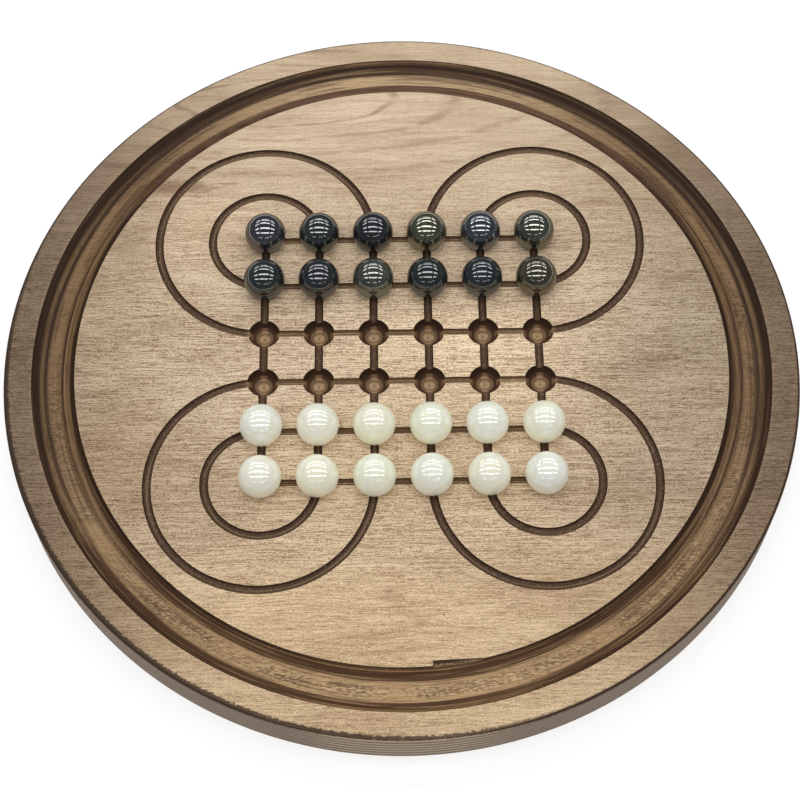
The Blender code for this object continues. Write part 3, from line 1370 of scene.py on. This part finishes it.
@dataclass
class Marble:
    """One loose glass ball, slightly out of round, as pressed glass is."""

    kind: GlassKind
    row: int
    column: int
    in_row: int = 6
    cuts: int = 22
    out_of_round: float = 0.00003
    swell_step: float = 1.3

    @property
    def node(self) -> str:
        """The CAD node that the marble stands for."""
        return f"{self.kind.value}_marble_{self.row}_{self.column}"

    @property
    def seed(self) -> int:
        """A number of its own for each marble."""
        return self.row * 10 + self.column

    def mesh(self, radius: float) -> bpy.types.Mesh:
        """A ball of even quads about its own middle.

        Args:
            radius: The ball's radius.

        Returns:
            The mesh.
        """
        shape = bmesh.new()
        bmesh.ops.create_cube(shape, size=2)
        bmesh.ops.subdivide_edges(shape, edges=shape.edges, cuts=self.cuts, use_grid_fill=True)
        for vertex in shape.verts:
            # Equal-angle spacing keeps the quads about the same size near the cube's corners.
            spread = Vector([math.tan(c * math.pi / 4) for c in vertex.co])
            direction = spread.normalized()
            sample = direction * self.swell_step + Vector((self.seed, 0, 0))
            vertex.co = direction * (radius + noise.noise(sample) * self.out_of_round)
        data = bpy.data.meshes.new(f"{self.kind.value}_glass_ball_{self.seed}")
        shape.to_mesh(data)
        shape.free()
        data.shade_smooth()
        return data

    def finish(self) -> bpy.types.Material:
        """The marble's own shade of its glass.

        Returns:
            The material.
        """
        if self.kind is GlassKind.DARK:
            shades, pick = DARK_GLASSES, (self.row - 1) * self.in_row + self.column - 1
        else:
            shades, pick = PALE_GLASSES, self.row + self.column - 1
        name = f"{self.kind.value}_glass_{self.seed}"
        return shades[pick % len(shades)].material(name, self.seed)

    def build(self) -> bpy.types.Object:
        """Makes the marble where its CAD node is.

        Returns:
            The marble.
        """
        low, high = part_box(self.node)
        data = self.mesh((high.z - low.z) / 2)
        made = bpy.data.objects.new(f"{self.kind.value}_glass_marble_{self.row}_{self.column}", data)
        bpy.context.scene.collection.objects.link(made)
        made.location = (low + high) / 2
        data.materials.append(self.finish())
        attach(made, self.node)
        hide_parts(self.node)
        return made


# --- The studio


@dataclass
class Studio:
    """The floor, the lamps overhead and the camera."""

    layout: Layout
    lens: float = 83.59
    distance_pitches: float = 33.270
    elevation: float = math.radians(62.430)
    azimuth: float = math.radians(-0.414)
    roll: float = math.radians(-0.376)
    target_pitches: tuple[float, float] = (-0.0387, -0.8944)
    near_clip: float = 0.05
    floor_size: float = 8.0
    floor_white: Colour = (0.9, 0.9, 0.9)
    floor_roughness: float = 0.9
    floor_lift: float = 0.36
    floor_glow: float = 0.6
    room_white: Colour = (0.93, 0.97, 1.0)
    room_strength: float = 0.13
    ceiling: float = 1.2
    lamp_radiance: float = 5.2
    strip_rows: tuple[float, ...] = (1.5, 1.15, 0.6, 0.0, -0.53)
    strip_width: float = 0.14
    long_strip: float = 1.0
    short_strip: float = 0.68
    short_strip_middle: float = 1.02
    panels: tuple[float, ...] = (-1.25, -0.95, -0.7, 0.1, 0.4, 0.7, 1.0, 1.25)
    panel_size: tuple[float, float] = (0.17, 0.15)
    panel_row: float = -1.25
    panel_scatter: float = 0.35
    panel_seed: int = 5

    def floor(self) -> None:
        """A plain white floor that the board lies on."""
        shape = bmesh.new()
        bmesh.ops.create_grid(shape, x_segments=1, y_segments=1, size=self.floor_size / 2)
        floor = mesh_object("floor", shape)
        graph = Graph(bpy.data.materials.new("white_floor"))
        inputs = {"Base Color": self.floor_white, "Roughness": self.floor_roughness}
        inputs |= {"Emission Color": WHITE, "Emission Strength": self.floor_lift}
        matte = graph.node("ShaderNodeBsdfPrincipled", None, inputs)
        glow = graph.node("ShaderNodeEmission", None, {"Color": WHITE})
        surface = graph.for_camera(self.floor_glow, matte, glow)
        graph.node("ShaderNodeOutputMaterial", None, {"Surface": surface})
        floor.data.materials.append(graph.owner)
        floor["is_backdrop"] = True

    def strip(self, x: float, y: float, length: float, width: float) -> None:
        """One lamp on the ceiling, facing down.

        Args:
            x: Its middle along X, as a share of the ceiling's height.
            y: Its middle along Y, as a share of the ceiling's height.
            length: Its length along X, as a share of the ceiling's height.
            width: Its width along Y, as a share of the ceiling's height.
        """
        lamp = bpy.data.lights.new("ceiling_strip", "AREA")
        lamp.shape = "RECTANGLE"
        lamp.size = length * self.ceiling
        lamp.size_y = width * self.ceiling
        lamp.energy = self.lamp_radiance * lamp.size * lamp.size_y * math.pi
        made = bpy.data.objects.new("ceiling_strip", lamp)
        made.location = (x * self.ceiling, y * self.ceiling, self.layout.top + self.ceiling)
        made.visible_camera = False
        bpy.context.scene.collection.objects.link(made)

    def lamps(self) -> None:
        """Rows of strips, a long one between two short ones, and small panels at the near end."""
        for y in self.strip_rows:
            self.strip(0, y, self.long_strip, self.strip_width)
            for x in (-self.short_strip_middle, self.short_strip_middle):
                self.strip(x, y, self.short_strip, self.strip_width)
        draw = random.Random(self.panel_seed)
        for x in self.panels:
            self.strip(x, self.panel_row - draw.uniform(0, self.panel_scatter), *self.panel_size)

    def world(self) -> None:
        """A dim room all round, which the camera itself sees as white."""
        graph = Graph(bpy.data.worlds.new("studio"))
        inputs = {"Color": self.room_white, "Strength": self.room_strength}
        room = graph.node("ShaderNodeBackground", None, inputs)
        white = graph.node("ShaderNodeBackground", None, {"Color": WHITE})
        graph.node("ShaderNodeOutputWorld", None, {"Surface": graph.for_camera(1, room, white)})
        bpy.context.scene.world = graph.owner

    def camera(self) -> None:
        """The camera above the near side, rolled a little."""
        level = Vector((math.sin(self.azimuth), -math.cos(self.azimuth), 0))
        back = level * math.cos(self.elevation) + Vector((0, 0, math.sin(self.elevation)))
        right = Vector((0, 0, 1)).cross(back).normalized()
        up = back.cross(right)
        turned_right = math.cos(self.roll) * right + math.sin(self.roll) * up
        turned_up = math.cos(self.roll) * up - math.sin(self.roll) * right
        pitch = self.layout.pitch
        target = Vector((*(share * pitch for share in self.target_pitches), self.layout.top))
        place = target + back * (self.distance_pitches * pitch)
        data = bpy.data.cameras.new("camera")
        data.lens = self.lens
        data.clip_start = self.near_clip
        made = bpy.data.objects.new("camera", data)
        axes = Matrix((turned_right, turned_up, back)).transposed()
        made.matrix_world = Matrix.Translation(place) @ axes.to_4x4()
        bpy.context.scene.collection.objects.link(made)
        bpy.context.scene.camera = made

    def build(self) -> None:
        """Sets up the floor, lamps, world, camera and colour display."""
        self.camera()
        self.floor()
        self.lamps()
        self.world()
        bpy.context.scene.view_settings.view_transform = "Standard"


def main() -> None:
    """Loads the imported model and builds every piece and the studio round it."""
    logging.basicConfig(level=logging.INFO, format="%(name)s: %(message)s")
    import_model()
    cad_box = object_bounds()
    layout = Layout.of_frame()
    Studio(layout).build()
    board = Board(layout).build()
    LOG.info("%s: %d faces", board.name, len(board.data.polygons))
    for kind, rows in ((GlassKind.DARK, (1, 2)), (GlassKind.PALE, (5, 6))):
        for row in rows:
            for column in range(1, layout.sockets + 1):
                marble = Marble(kind, row, column).build()
                LOG.info("%s: %d faces", marble.name, len(marble.data.polygons))
    [[list(corner) for corner in box] for box in (cad_box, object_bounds())]


if __name__ == "__main__":
    main()
